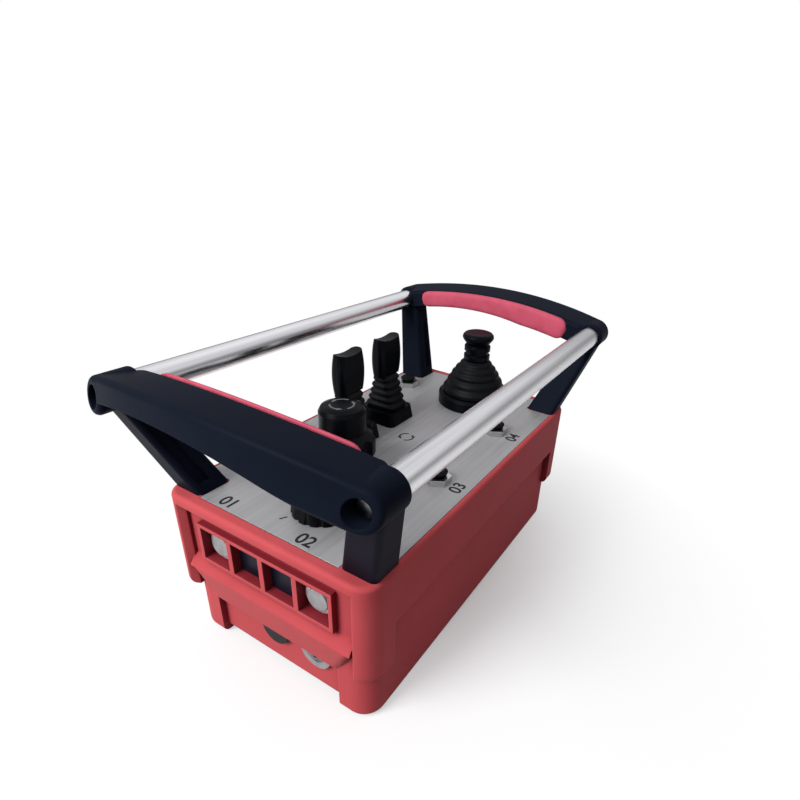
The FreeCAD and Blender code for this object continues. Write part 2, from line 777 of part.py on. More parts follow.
# Paddle levers: a bezel on the panel, a pivoted lever in a housing below it, a saddle cap on top
def paddle(name, x):
    y = paddle_y
    pivot_z = panel_top - paddle_pivot_depth
    base_top = panel_top + paddle_base_height
    half_x = paddle_base_x / 2
    half_y = paddle_base_y / 2
    base = tapered_block((half_x, half_y, 4.0),
                         (half_x - paddle_base_taper, half_y - paddle_base_taper, 4.0),
                         x, y, panel_top, base_top)
    slot = rounded_block(paddle_slot_x / 2, paddle_slot_y / 2, 4.0, x, y, panel_top - 1, base_top + 1)
    save(name + "_base", base.cut(slot))

    floor_z = panel_under - paddle_housing_depth
    housing = rounded_block(half_x - 1, half_y + 2, 2.0, x, y, floor_z, panel_under)
    inner = rounded_block(half_x - 1 - paddle_housing_wall, half_y + 2 - paddle_housing_wall, 1.0,
                          x, y, floor_z + paddle_housing_wall, panel_under + 1)
    pin_half = half_x - 1
    pin = beam(paddle_pin_radius, y, pivot_z, x - pin_half, x + pin_half)
    pin_hole = beam(paddle_pin_radius + seat_gap, y, pivot_z, x - pin_half - 1, x + pin_half + 1)
    save(name + "_housing", housing.cut(inner).cut(pin_hole))
    save(name + "_pin", pin)

    hub_half = half_x - 1 - paddle_housing_wall - slide_gap
    hub = beam(paddle_hub_radius, y, pivot_z, x - hub_half, x + hub_half)
    cap_bottom = panel_top + paddle_cap_bottom
    cap_top = panel_top + paddle_cap_top
    stem_top = cap_bottom + (cap_top - cap_bottom) / 2
    stem = post(paddle_stem_radius, x, y, pivot_z, stem_top)
    arm = rounded_block(paddle_stem_radius, paddle_stem_radius, 1.0, x, y,
                        pivot_z - 2 * paddle_hub_radius - 2, pivot_z)
    lever = joined([hub, stem, arm])
    lever_bore = beam(paddle_pin_radius + slide_gap, y, pivot_z, x - half_x, x + half_x)
    save(name + "_lever", lever.cut(lever_bore))

    cap_x = paddle_cap_x / 2
    cap_y = paddle_cap_y / 2
    middle = (cap_bottom + cap_top) / 2
    wires = [
        rounded_wire(cap_x - paddle_cap_taper, cap_y - paddle_cap_taper / 2, 4.0, x, y, cap_bottom),
        rounded_wire(cap_x, cap_y, 4.0, x, y, middle),
        rounded_wire(cap_x - paddle_cap_taper, cap_y - paddle_cap_taper, 4.0, x, y, cap_top),
    ]
    cap = Part.makeLoft(wires, True, False)
    saddle_radius = (cap_x ** 2 + paddle_saddle_sink ** 2) / (2 * paddle_saddle_sink)
    saddle_z = cap_top - paddle_saddle_sink + saddle_radius
    saddle = rod(saddle_radius, V(x, y - 2 * cap_y, saddle_z), V(x, y + 2 * cap_y, saddle_z))
    bore = post(paddle_stem_radius + seat_gap, x, y, cap_bottom - 1, stem_top)
    save(name + "_cap", cap.cut(saddle).cut(bore))

    outer = tapered_block((paddle_slot_x / 2 + 2, paddle_slot_y / 2 + 1, 5.0),
                          (paddle_stem_radius + 4, paddle_cap_y / 2 + 1, 5.0), x, y, base_top, cap_bottom)
    hollow = tapered_block((paddle_slot_x / 2, paddle_slot_y / 2 - 1, 4.0),
                           (paddle_stem_radius + 1.5, paddle_stem_radius + 1.5, 4.0),
                           x, y, base_top, cap_bottom)
    save(name + "_boot", outer.cut(hollow))


paddle("paddle_a", paddle_a_x)
paddle("paddle_b", paddle_b_x)


# Joystick: housing and gimbal ring below the panel, stem with knob above it
pivot_z = panel_top - joystick_pivot_depth
jx = joystick_x
jy = joystick_y
save("joystick_base", turned([
    (joystick_opening_radius, 0),
    (joystick_base_radius, 0),
    (joystick_base_radius, joystick_base_height - joystick_base_taper),
    (joystick_base_radius - joystick_base_taper, joystick_base_height),
    (joystick_opening_radius, joystick_base_height),
], jx, jy, panel_top))
house_floor = panel_under - joystick_housing_depth
house_half = joystick_housing_half
house_inner = house_half - joystick_housing_wall
housing = rounded_block(house_half, house_half, 3.0, jx, jy, house_floor, panel_under)
housing = housing.cut(rounded_block(house_inner, house_inner, 1.0, jx, jy,
                                    house_floor + joystick_housing_wall, panel_under + 1))
housing = housing.cut(beam(gimbal_pin_radius + slide_gap, jy, pivot_z,
                           jx - house_half - 1, jx + house_half + 1))
save("joystick_housing", housing)

gimbal_low = pivot_z - gimbal_height / 2
gimbal_high = pivot_z + gimbal_height / 2
ring = post(gimbal_radius, jx, jy, gimbal_low, gimbal_high)
pins = beam(gimbal_pin_radius, jy, pivot_z, jx - house_half + 0.5, jx + house_half - 0.5)
ring = ring.fuse(pins).cut(post(gimbal_radius - gimbal_wall, jx, jy, gimbal_low - 1, gimbal_high + 1))
cross_hole = rod(gimbal_pin_radius + slide_gap, V(jx, jy - gimbal_radius - 1, pivot_z),
                 V(jx, jy + gimbal_radius + 1, pivot_z))
save("joystick_gimbal", ring.cut(cross_hole).removeSplitter())

knob_bottom = panel_top + joystick_knob_bottom
knob_top = panel_top + joystick_knob_top
boot_top = panel_top + joystick_boot_top
stem_top = (knob_bottom + knob_top) / 2
hub = Part.makeSphere(joystick_hub_radius, V(jx, jy, pivot_z))
cross_pin = rod(gimbal_pin_radius, V(jx, jy - gimbal_radius + 0.5, pivot_z),
                V(jx, jy + gimbal_radius - 0.5, pivot_z))
stem = post(joystick_stem_radius, jx, jy, pivot_z, stem_top)
neck = post(joystick_neck_radius, jx, jy, boot_top, knob_bottom)
neck_rings = []
for low in (boot_top + 1, knob_bottom - joystick_neck_ring_height - 1):
    neck_rings.append(post(joystick_neck_ring_radius, jx, jy, low, low + joystick_neck_ring_height))
save("joystick_stem", joined([hub, cross_pin, stem, neck] + neck_rings))

knob_height = joystick_knob_top - joystick_knob_bottom
knob = turned([
    (joystick_stem_radius + seat_gap, 0),
    (joystick_knob_foot_radius - 1, 0),
    (joystick_knob_foot_radius, 1),
    (joystick_knob_radius - 0.6, knob_height / 2),
    (joystick_knob_radius, knob_height - 3.6),
    (joystick_knob_radius - 0.4, knob_height - 1.8),
    (joystick_knob_radius - 1.6, knob_height - 0.5),
    (joystick_knob_radius - 3, knob_height),
    (0, knob_height),
    (0, knob_height / 2),
    (joystick_stem_radius + seat_gap, knob_height / 2),
], jx, jy, knob_bottom)
save("joystick_knob", knob)

boot_wall = joystick_boot_wall
boot_low_radius = joystick_base_radius - joystick_base_taper - boot_wall
mid_radius = joystick_boot_mid_radius
split = joystick_boot_split - joystick_base_height
save("joystick_boot_lower", turned([
    (boot_low_radius - boot_wall, 0),
    (boot_low_radius, 0),
    (boot_low_radius, split / 2),
    (mid_radius + boot_wall, split),
    (mid_radius, split),
    (boot_low_radius - boot_wall, split / 2),
], jx, jy, panel_top + joystick_base_height))
upper_rise = joystick_boot_top - joystick_boot_split
save("joystick_boot_upper", turned([
    (mid_radius, 0),
    (mid_radius + boot_wall, 0),
    (mid_radius - boot_wall, upper_rise / 2),
    (joystick_neck_radius + boot_wall, upper_rise),
    (joystick_stem_radius + boot_wall, upper_rise),
    (mid_radius - 3 * boot_wall, upper_rise / 2),
], jx, jy, panel_top + joystick_boot_split))

# Emergency stop: fixed collar and contact block, sliding plunger, head that twists to release
sx = stop_x
sy = stop_y
save("stop_collar", turned([
    (stop_plunger_radius + slide_gap, 0),
    (stop_collar_radius, 0),
    (stop_collar_radius, stop_collar_height - 1.5),
    (stop_collar_radius - 1.5, stop_collar_height),
    (stop_plunger_radius + slide_gap, stop_collar_height),
], sx, sy, panel_top))
block = rounded_block(stop_body_half, stop_body_half, 3.0, sx, sy,
                      panel_under - stop_body_depth, panel_under)
well_depth = stop_body_depth - 5
plunger_well = post(stop_plunger_radius + slide_gap, sx, sy, panel_under - well_depth, panel_under + 1)
save("stop_body", block.cut(plunger_well))
skirt_bottom = panel_top + stop_skirt_bottom
plunger_foot = panel_under - well_depth + stop_travel + slide_gap
plunger = post(stop_plunger_radius, sx, sy, plunger_foot, skirt_bottom)
spigot = post(stop_spigot_radius, sx, sy, skirt_bottom - 1, skirt_bottom + stop_spigot_height)
save("stop_plunger", plunger.fuse(spigot).removeSplitter())
skirt_top = skirt_bottom + stop_skirt_height
skirt = turned([
    (0, 0),
    (stop_skirt_radius, 0),
    (stop_skirt_radius, stop_skirt_height - stop_shoulder),
    (stop_head_radius, stop_skirt_height),
    (0, stop_skirt_height),
], sx, sy, skirt_bottom)
for i in range(stop_lobes):
    angle = math.radians(360 * i / stop_lobes)
    lobe = post(stop_lobe_radius, sx + (stop_skirt_radius + 2.5) * math.cos(angle),
                sy + (stop_skirt_radius + 2.5) * math.sin(angle), skirt_bottom - 1, skirt_top + 1)
    skirt = skirt.cut(lobe)
crown = turned([
    (0, 0),
    (stop_head_radius, 0),
    (stop_head_radius, stop_head_height - 4),
    (stop_head_radius - 1.5, stop_head_height - 1.3),
    (stop_head_radius - 5, stop_head_height),
    (0, stop_head_height),
], sx, sy, skirt_top)
well = post(stop_spigot_radius + slide_gap, sx, sy,
            skirt_bottom - 1, skirt_bottom + stop_spigot_height + slide_gap)
save("stop_head", joined([skirt, crown]).cut(well))

# Rotary selector: fluted knob on a shaft that turns in a switch body below the panel
kx = selector_x
ky = selector_y
knob = turned([
    (0, slide_gap),
    (selector_radius, slide_gap),
    (selector_radius - selector_taper, selector_height - 2),
    (selector_radius - selector_taper - 2, selector_height),
    (0, selector_height),
], kx, ky, panel_top)
flute_place = selector_radius + selector_flute_radius - selector_flute_depth
for i in range(selector_flutes):
    angle = math.radians(360 * (i + 0.5) / selector_flutes)
    flute_x = kx + flute_place * math.cos(angle)
    flute_y = ky + flute_place * math.sin(angle)
    flute = post(selector_flute_radius, flute_x, flute_y, panel_top - 1, panel_top + selector_height + 1)
    knob = knob.cut(flute)
selector_well = selector_body_depth - 4
shaft = post(selector_shaft_radius, kx, ky, panel_under - selector_well + slide_gap, panel_top + 2)
save("selector_knob", knob.fuse(shaft).removeSplitter())
body = post(selector_body_radius, kx, ky, panel_under - selector_body_depth, panel_under)
save("selector_body", body.cut(post(selector_shaft_radius + slide_gap, kx, ky,
                                    panel_under - selector_well, panel_under + 1)))

# Sealed push-buttons: threaded body through the panel, hex nut on top, domed cap in the middle
nuts = []
bodies = []
bush_top = panel_top + push_nut_height
for number, (x, y) in enumerate(push_places, 1):
    corner = push_nut_flats / math.sqrt(3)
    points = []
    for i in range(6):
        angle = math.radians(60 * i)
        points.append(V(x + corner * math.cos(angle), y + corner * math.sin(angle), panel_top))
    nuts.append(prism(points, V(0, 0, push_nut_height)).cut(
        post(push_bush_radius + seat_gap, x, y, panel_top - 1, bush_top + 1)))
    body = post(push_body_radius, x, y, panel_under - push_body_depth, panel_under)
    body = body.fuse(post(push_bush_radius, x, y, panel_under - 1, bush_top))
    well_floor = panel_under - push_body_depth + 4
    body = body.cut(post(push_stem_radius + slide_gap, x, y, well_floor, bush_top + 1))
    bodies.append(body.removeSplitter())
    dome = turned([
        (0, 0),
        (push_dome_radius, 0),
        (push_dome_radius, push_dome_height / 3),
        (push_dome_radius - 1.5, push_dome_height - 0.4),
        (push_dome_radius - 3.5, push_dome_height),
        (0, push_dome_height),
    ], x, y, bush_top + push_dome_lift)
    stem = post(push_stem_radius, x, y,
                well_floor + push_travel + slide_gap, bush_top + push_dome_lift + 1)
    save("push_cap_" + str(number), dome.fuse(stem).removeSplitter())
save("push_nuts", group(nuts))
save("push_bodies", group(bodies))

# Bay buttons in the two outer bays, blanks in the two middle ones
rings = []
switches = []
ring_inner = bay_ring_radius - bay_ring_width
for name, y in zip(("left", "right"), button_places):
    ring = beam(bay_ring_radius, y, bay_z, -bay_floor_x, -bay_floor_x - bay_ring_height)
    ring_bore = beam(ring_inner, y, bay_z, -bay_floor_x + 1, -bay_floor_x - bay_ring_height - 1)
    rings.append(ring.cut(ring_bore))
    front_x = bay_floor_x + bay_button_proud
    head = beam(ring_inner - slide_gap, y, bay_z, -front_x + bay_button_thickness, -front_x)
    stem = beam(bay_stem_radius, y, bay_z, -front_x + 1, -cavity_half_x + bay_button_travel)
    save("bay_button_" + name, head.fuse(stem).removeSplitter())
    half = bay_switch_size / 2
    switch = span(-cavity_half_x, -cavity_half_x + bay_switch_depth, y - half, y + half,
                  bay_z - half, bay_z + half)
    well_end = -cavity_half_x + 2 * bay_button_travel + 2
    switches.append(switch.cut(beam(bay_stem_radius + slide_gap, y, bay_z, -cavity_half_x - 1, well_end)))
save("bay_rings", group(rings))
save("bay_switches", group(switches))
blanks = []
for y in blank_places:
    half_y = bay_width / 2 - slide_gap
    half_z = bay_height / 2 - slide_gap
    blanks.append(span(-bay_floor_x - bay_blank_thickness, -bay_floor_x, y - half_y, y + half_y,
                       bay_z - half_z, bay_z + half_z))
save("bay_blanks", group(blanks))

# End fittings: capped service socket and key switch
barrel_end_x = -bib_x + fitting_barrel_length
socket = beam(fitting_radius, socket_y, fitting_height, -bib_x - socket_flange, -bib_x)
socket = socket.fuse(beam(fitting_barrel_radius, socket_y, fitting_height, -bib_x - 1, barrel_end_x))
save("service_socket", socket.removeSplitter())
save("service_cap", beam(fitting_radius - 1, socket_y, fitting_height,
                         -bib_x - socket_flange - socket_cap_thickness, -bib_x - socket_flange))
key_ring = beam(fitting_radius, key_y, fitting_height, -bib_x - key_flange, -bib_x)
key_ring = key_ring.fuse(beam(fitting_barrel_radius, key_y, fitting_height, -bib_x - 1, barrel_end_x))
core_end_x = barrel_end_x - 3
key_ring = key_ring.cut(beam(key_core_radius + slide_gap, key_y, fitting_height,
                             -bib_x - key_flange - 1, core_end_x))
save("key_ring", key_ring.removeSplitter())
core_front_x = -bib_x - key_flange - 0.4
core = beam(key_core_radius, key_y, fitting_height, core_front_x, core_end_x - slide_gap)
slot = span(core_front_x - 1, core_front_x + key_slot_depth,
            key_y - key_slot_width / 2, key_y + key_slot_width / 2,
            fitting_height - key_slot_length / 2, fitting_height + key_slot_length / 2)
save("key_core", core.cut(slot))
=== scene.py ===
import bpy
import json
import math
from mathutils import Matrix, Vector


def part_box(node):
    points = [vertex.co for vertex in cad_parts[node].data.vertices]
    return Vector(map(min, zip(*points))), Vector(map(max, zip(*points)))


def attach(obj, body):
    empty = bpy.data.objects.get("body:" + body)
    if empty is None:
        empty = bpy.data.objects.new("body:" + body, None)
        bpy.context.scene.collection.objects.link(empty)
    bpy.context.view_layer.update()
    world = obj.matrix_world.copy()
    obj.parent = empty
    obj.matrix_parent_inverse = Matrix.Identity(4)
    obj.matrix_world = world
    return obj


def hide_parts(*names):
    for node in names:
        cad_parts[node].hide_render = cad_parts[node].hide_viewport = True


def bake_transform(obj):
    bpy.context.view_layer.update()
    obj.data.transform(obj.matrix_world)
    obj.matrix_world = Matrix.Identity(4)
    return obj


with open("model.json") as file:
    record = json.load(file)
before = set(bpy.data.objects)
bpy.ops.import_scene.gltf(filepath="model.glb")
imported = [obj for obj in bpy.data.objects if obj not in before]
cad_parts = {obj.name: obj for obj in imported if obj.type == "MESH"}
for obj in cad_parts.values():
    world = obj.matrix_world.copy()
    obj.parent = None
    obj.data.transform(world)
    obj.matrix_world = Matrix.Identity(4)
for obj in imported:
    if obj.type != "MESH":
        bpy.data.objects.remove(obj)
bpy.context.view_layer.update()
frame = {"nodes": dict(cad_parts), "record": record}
MM = 0.001


# Places read from the frame, in millimetres
def low(node):
    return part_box(node)[0] / MM


def high(node):
    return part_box(node)[1] / MM


def middle(node):
    return (low(node) + high(node)) / 2


PANEL = high("control_panel").z
PANEL_HALF_X = high("control_panel").x
PANEL_HALF_Y = high("control_panel").y
TUBE = middle("guard_tube_rear")


# Small helpers
def added(name, data):
    # New object in the scene that shows the given data
    obj = bpy.data.objects.new(name, data)
    bpy.context.scene.collection.objects.link(obj)
    return obj


def lerp(a, b, t):
    # Value at share t of the way from a to b
    return a + (b - a) * t


# Material helpers, with lengths in metres
EVEN = (1, 1, 1)
ALONG_X = (0.02, 1, 1)
NOISE_DETAIL = 3.0
COLOUR_SPAN = (0.3, 0.7)
ROUGH_SPAN = (0.25, 0.75)
GRAIN_HEIGHT = 0.00008
EDGE_SAMPLES = 6
# Painted shade in crevices and recesses, found by ambient occlusion
CREVICE_SAMPLES = 8
CREVICE_REACH = 0.026
CREVICE_SPAN = (0.45, 0.93)
# Lighter edges: partly wear, partly a painted highlight
WEAR_AND_HIGHLIGHT_SAMPLES = 8
WEAR_AND_HIGHLIGHT_REACH = 0.0014
WEAR_AND_HIGHLIGHT_SPAN = (0.72, 0.97)
MIX_FIRST = 6
MIX_SECOND = 7
MIX_RESULT = 2


def node_setup(name):
    mat = bpy.data.materials.new(name)
    mat.use_nodes = True
    tree = mat.node_tree
    return mat, tree, tree.nodes["Principled BSDF"]


def noise(tree, scale, detail, stretch=EVEN):
    coords = tree.nodes.new("ShaderNodeTexCoord")
    mapping = tree.nodes.new("ShaderNodeMapping")
    mapping.inputs["Scale"].default_value = stretch
    texture = tree.nodes.new("ShaderNodeTexNoise")
    texture.inputs["Scale"].default_value = scale
    texture.inputs["Detail"].default_value = detail
    tree.links.new(coords.outputs["Object"], mapping.inputs["Vector"])
    tree.links.new(mapping.outputs["Vector"], texture.inputs["Vector"])
    return texture.outputs["Fac"]


def ramp(tree, fac, dark, light):
    # Colour that goes from dark to light over the span that noise mostly covers
    node = tree.nodes.new("ShaderNodeValToRGB")
    for stop, position, colour in zip(node.color_ramp.elements, COLOUR_SPAN, (dark, light)):
        stop.position = position
        stop.color = (*colour, 1)
    tree.links.new(fac, node.inputs["Fac"])
    return node.outputs["Color"]


def remap(tree, value, least, most, start, stop):
    # Value that goes from least to most as the given one goes from start to stop
    node = tree.nodes.new("ShaderNodeMapRange")
    node.inputs["From Min"].default_value = start
    node.inputs["From Max"].default_value = stop
    node.inputs["To Min"].default_value = least
    node.inputs["To Max"].default_value = most
    tree.links.new(value, node.inputs["Value"])
    return node.outputs["Result"]


def rounded_normal(tree, radius, samples):
    # Normal as if every edge were rounded by the radius
    node = tree.nodes.new("ShaderNodeBevel")
    node.samples = samples
    node.inputs["Radius"].default_value = radius
    return node.outputs["Normal"]


def relief(tree, shader, height, strength, edge):
    # Fine surface grain over rounded edges
    grain = tree.nodes.new("ShaderNodeBump")
    grain.inputs["Strength"].default_value = strength
    grain.inputs["Distance"].default_value = GRAIN_HEIGHT
    tree.links.new(height, grain.inputs["Height"])
    if edge > 0:
        tree.links.new(rounded_normal(tree, edge, EDGE_SAMPLES), grain.inputs["Normal"])
    tree.links.new(grain.outputs["Normal"], shader.inputs["Normal"])


def turned_to(tree, colour, other, measure, span):
    # Colour that turns to another one as the measure falls through the span
    node = tree.nodes.new("ShaderNodeMix")
    node.data_type = "RGBA"
    tree.links.new(remap(tree, measure, 1, 0, *span), node.inputs["Factor"])
    tree.links.new(colour, node.inputs[MIX_FIRST])
    node.inputs[MIX_SECOND].default_value = (*other, 1)
    return node.outputs[MIX_RESULT]


def painted_crevice_shade(tree, colour, crevice_shade):
    # Colour that turns to a darker colour where the piece hems itself in: painted shade in crevices and
    # recesses
    hollow = tree.nodes.new("ShaderNodeAmbientOcclusion")
    hollow.samples = CREVICE_SAMPLES
    hollow.only_local = True
    hollow.inputs["Distance"].default_value = CREVICE_REACH
    return turned_to(tree, colour, crevice_shade, hollow.outputs["AO"], CREVICE_SPAN)


def wear_and_highlight(tree, colour, wear_and_highlight_colour):
    # Colour that turns lighter along edges: partly wear, partly a painted highlight
    face = tree.nodes.new("ShaderNodeNewGeometry")
    along = tree.nodes.new("ShaderNodeVectorMath")
    along.operation = "DOT_PRODUCT"
    tree.links.new(rounded_normal(tree, WEAR_AND_HIGHLIGHT_REACH, WEAR_AND_HIGHLIGHT_SAMPLES), along.inputs[0])
    tree.links.new(face.outputs["True Normal"], along.inputs[1])
    return turned_to(tree, colour, wear_and_highlight_colour, along.outputs["Value"], WEAR_AND_HIGHLIGHT_SPAN)


def surface(name, dark, light, rough, metallic=0.0, patch=25.0, grain=900.0, depth=0.3, stretch=EVEN,
            specular=0.5, edge=0.0, wear_and_highlight_colour=None, crevice_shade=None):
    # Patches between two colours and two roughnesses, under a fine grain of the given depth
    mat, tree, shader = node_setup(name)
    patches = noise(tree, patch, NOISE_DETAIL, stretch)
    colour = ramp(tree, patches, dark, light)
    # Lighter colour along edges, partly wear and partly a painted highlight
    if wear_and_highlight_colour:
        colour = wear_and_highlight(tree, colour, wear_and_highlight_colour)
    # Painted shade darkens the colour in crevices and recesses
    if crevice_shade:
        colour = painted_crevice_shade(tree, colour, crevice_shade)
    tree.links.new(colour, shader.inputs["Base Color"])
    tree.links.new(remap(tree, patches, *rough, *ROUGH_SPAN), shader.inputs["Roughness"])
    shader.inputs["Metallic"].default_value = metallic
    shader.inputs["Specular IOR Level"].default_value = specular
    relief(tree, shader, noise(tree, grain, NOISE_DETAIL, stretch), depth, edge)
    return mat


# Materials of the outside, the printed marks and the inside
LOOKS = {
    # case_red: the crevice colour is painted shade, and the edge colour is partly wear, partly a painted
    # highlight
    "case_red": dict(dark=(0.485, 0.070, 0.079), light=(0.54, 0.085, 0.094), rough=(0.40, 0.52),
                     grain=1400, depth=0.25, specular=0.03, edge=0.0012,
                     wear_and_highlight_colour=(0.64, 0.14, 0.15), crevice_shade=(0.20, 0.018, 0.026)),
    "seal_black": dict(dark=(0.012, 0.012, 0.013), light=(0.02, 0.02, 0.022), rough=(0.6, 0.75),
                       grain=1500, specular=0.2),
    "panel_grey": dict(dark=(0.335, 0.335, 0.342), light=(0.395, 0.395, 0.402), rough=(0.42, 0.55),
                       metallic=0.4, patch=300, grain=1600, depth=0.2, stretch=ALONG_X, edge=0.0004),
    "bracket_black": dict(dark=(0.0045, 0.0064, 0.0128), light=(0.0069, 0.0098, 0.0186), rough=(0.38, 0.50),
                          grain=1500, specular=0.015, edge=0.0012),
    "grip_red": dict(dark=(0.46, 0.060, 0.105), light=(0.54, 0.082, 0.135), rough=(0.6, 0.75),
                     patch=90, grain=700, depth=0.4, specular=0.25),
    # tube_chrome: streaks along the tube, partly brushed grain and partly painted reflection streaks
    "tube_chrome": dict(dark=(0.52, 0.52, 0.53), light=(0.82, 0.82, 0.83), rough=(0.16, 0.30),
                        metallic=1.0, patch=140, depth=0.08, stretch=ALONG_X),
    "steel": dict(dark=(0.50, 0.50, 0.51), light=(0.62, 0.62, 0.63), rough=(0.22, 0.34),
                  metallic=1.0, depth=0.1, edge=0.0005),
    "control_black": dict(dark=(0.0010, 0.0013, 0.0024), light=(0.0018, 0.0022, 0.0038), rough=(0.24, 0.36),
                          grain=1600, specular=0.06, edge=0.0007),
    "boot_rubber": dict(dark=(0.0016, 0.0018, 0.0028), light=(0.0030, 0.0033, 0.0046), rough=(0.46, 0.6),
                        grain=1300, specular=0.1),
    "button_face": dict(dark=(0.24, 0.24, 0.25), light=(0.36, 0.36, 0.37), rough=(0.34, 0.48),
                        metallic=0.75, patch=220, grain=1200, depth=0.2, edge=0.0006),
    "ring_chrome": dict(dark=(0.80, 0.80, 0.81), light=(0.90, 0.90, 0.91), rough=(0.28, 0.40),
                        metallic=0.75, patch=120, depth=0.06, edge=0.0006),
    "screw_dark": dict(dark=(0.08, 0.08, 0.085), light=(0.20, 0.20, 0.21), rough=(0.14, 0.26),
                       metallic=1.0, patch=200, depth=0.1, edge=0.0005),
    "blank_navy": dict(dark=(0.004, 0.005, 0.011), light=(0.006, 0.0075, 0.016), rough=(0.3, 0.4),
                       specular=0.08),
    "print_black": dict(dark=(0.012, 0.012, 0.014), light=(0.022, 0.022, 0.024), rough=(0.5, 0.65),
                        specular=0.2),
    "print_pale": dict(dark=(0.10, 0.10, 0.105), light=(0.14, 0.14, 0.145), rough=(0.5, 0.65),
                       specular=0.2),
    "board_green": dict(dark=(0.01, 0.12, 0.05), light=(0.02, 0.18, 0.08), rough=(0.3, 0.45)),
    "standoff_brass": dict(dark=(0.6, 0.42, 0.14), light=(0.7, 0.5, 0.2), rough=(0.25, 0.4), metallic=1.0),
    "module_metal": dict(dark=(0.5, 0.5, 0.5), light=(0.62, 0.62, 0.62), rough=(0.3, 0.45), metallic=1.0),
    "battery_grey": dict(dark=(0.02, 0.02, 0.022), light=(0.035, 0.035, 0.038), rough=(0.4, 0.55)),
}
MATS = {name: surface(name, **look) for name, look in LOOKS.items()}

# Each node has the material of its slot, apart from these
OWN_MATERIAL = {
    "bay_blanks": "blank_navy",
    "bay_rings": "ring_chrome",
    "bay_button_left": "button_face",
    "bay_button_right": "button_face",
    "key_ring": "button_face",
    "key_core": "screw_dark",
    "tube_screws": "screw_dark",
}
slot_of = {part["node"]: part["material_slot"] for part in frame["record"]["subparts"]}
for node_name, obj in frame["nodes"].items():
    obj.data.materials.clear()
    obj.data.materials.append(MATS[OWN_MATERIAL.get(node_name, slot_of[node_name])])

# Mesh helpers, all in millimetres
CORNER_STEPS = 10
ROUND_STEPS = 72


def mesh_object(name, points, faces, mat, smooth=True):
    data = bpy.data.meshes.new(name)
    data.from_pydata([tuple(c * MM for c in p) for p in points], [], faces)
    data.validate()
    if smooth:
        data.shade_smooth()
    data.materials.append(MATS[mat])
    return added(name, data)


def rounded_ring(half_x, half_y, radius, x, y, z):
    # Level oblong with round corners
    radius = min(radius, half_x, half_y)
    points = []
    for turn, (sx, sy) in enumerate([(1, 1), (-1, 1), (-1, -1), (1, -1)]):
        for i in range(CORNER_STEPS + 1):
            angle = math.radians(90 * turn + 90 * i / CORNER_STEPS)
            points.append((x + sx * (half_x - radius) + radius * math.cos(angle),
                           y + sy * (half_y - radius) + radius * math.sin(angle), z))
    return points


def round_ring(radius, x, y, z):
    # Level circle
    points = []
    for i in range(ROUND_STEPS):
        angle = 2 * math.pi * i / ROUND_STEPS
        points.append((x + radius * math.cos(angle), y + radius * math.sin(angle), z))
    return points


def skin(name, rings, mat, loop=False):
    # Closed skin through rings of equal length: the last ring meets the first, or both ends are capped
    count = len(rings[0])
    faces = []
    for k in range(len(rings) if loop else len(rings) - 1):
        a = k * count
        b = (k + 1) % len(rings) * count
        for i in range(count):
            j = (i + 1) % count
            faces.append((a + i, a + j, b + j, b + i))
    if not loop:
        faces.append(tuple(reversed(range(count))))
        faces.append(tuple(range((len(rings) - 1) * count, len(rings) * count)))
    return mesh_object(name, [p for ring in rings for p in ring], faces, mat)


# Bellows boots; the inner wall lies one fold depth inside the roots of the folds
STEPS_PER_FOLD = 8
INNER_SWELL = -1.0


def wave(t, folds):
    # From 0 at a root to 1 at a crest, fold after fold
    return 0.5 - 0.5 * math.cos(2 * math.pi * folds * t)


def bellows(name, node, ring_at, bottom, top, folds, joint_bodies):
    # Outer folds and a plain inner wall
    count = folds * STEPS_PER_FOLD
    outer = []
    inner = []
    for k in range(count + 1):
        t = k / count
        z = lerp(bottom, top, t)
        outer.append(ring_at(t, wave(t, folds), z))
        inner.append(ring_at(t, INNER_SWELL, z))
    boot = skin(name, outer + inner[::-1], "boot_rubber", loop=True)
    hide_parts(node)
    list(joint_bodies)
    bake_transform(boot)


# Paddle boots, from the bezel up to the cap; pairs of sizes are at the bottom and at the top
PADDLE_FOLDS = 5
PADDLE_FOLD_DEPTH = 1.2
PADDLE_HALF_X = (10.0, 8.4)
PADDLE_HALF_Y = (14.0, 5.8)
PADDLE_CORNER = (6.0, 5.0)
PADDLE_TAPER = 0.8


def paddle_boot(letter):
    name = "paddle_" + letter
    x, y, _ = middle(name + "_base")
    bezel_top = high(name + "_base").z
    cap_bottom = low(name + "_cap").z

    def ring_at(t, swell, z):
        rise = t ** PADDLE_TAPER
        half_x = lerp(*PADDLE_HALF_X, rise) + PADDLE_FOLD_DEPTH * swell
        half_y = lerp(*PADDLE_HALF_Y, rise) + PADDLE_FOLD_DEPTH * swell
        return rounded_ring(half_x, half_y, lerp(*PADDLE_CORNER, t), x, y, z)

    bellows(name + "_bellows", name + "_boot", ring_at, bezel_top, cap_bottom, PADDLE_FOLDS,
            ("case", name))


for letter in "ab":
    paddle_boot(letter)

# Joystick boot in two steps, one for each axis of the gimbal
JOY = middle("joystick_base")
JOY_SPLIT = low("joystick_boot_upper").z
JOY_STEPS = {
    "lower": dict(radii=(26.6, 20.0), taper=1.3, folds=2, fold_depth=1.1,
                  joint_bodies=("case", "gimbal")),
    "upper": dict(radii=(20.0, 10.0), taper=1.25, folds=3, fold_depth=1.0,
                  joint_bodies=("gimbal", "joystick")),
}


def joystick_boot(step, bottom, top, radii, taper, folds, fold_depth, joint_bodies):
    def ring_at(t, swell, z):
        return round_ring(lerp(*radii, t ** taper) + fold_depth * swell, JOY.x, JOY.y, z)

    bellows("joystick_bellows_" + step, "joystick_boot_" + step, ring_at, bottom, top, folds,
            joint_bodies)


joystick_boot("lower", high("joystick_base").z, JOY_SPLIT, **JOY_STEPS["lower"])
joystick_boot("upper", JOY_SPLIT, high("joystick_boot_upper").z, **JOY_STEPS["upper"])

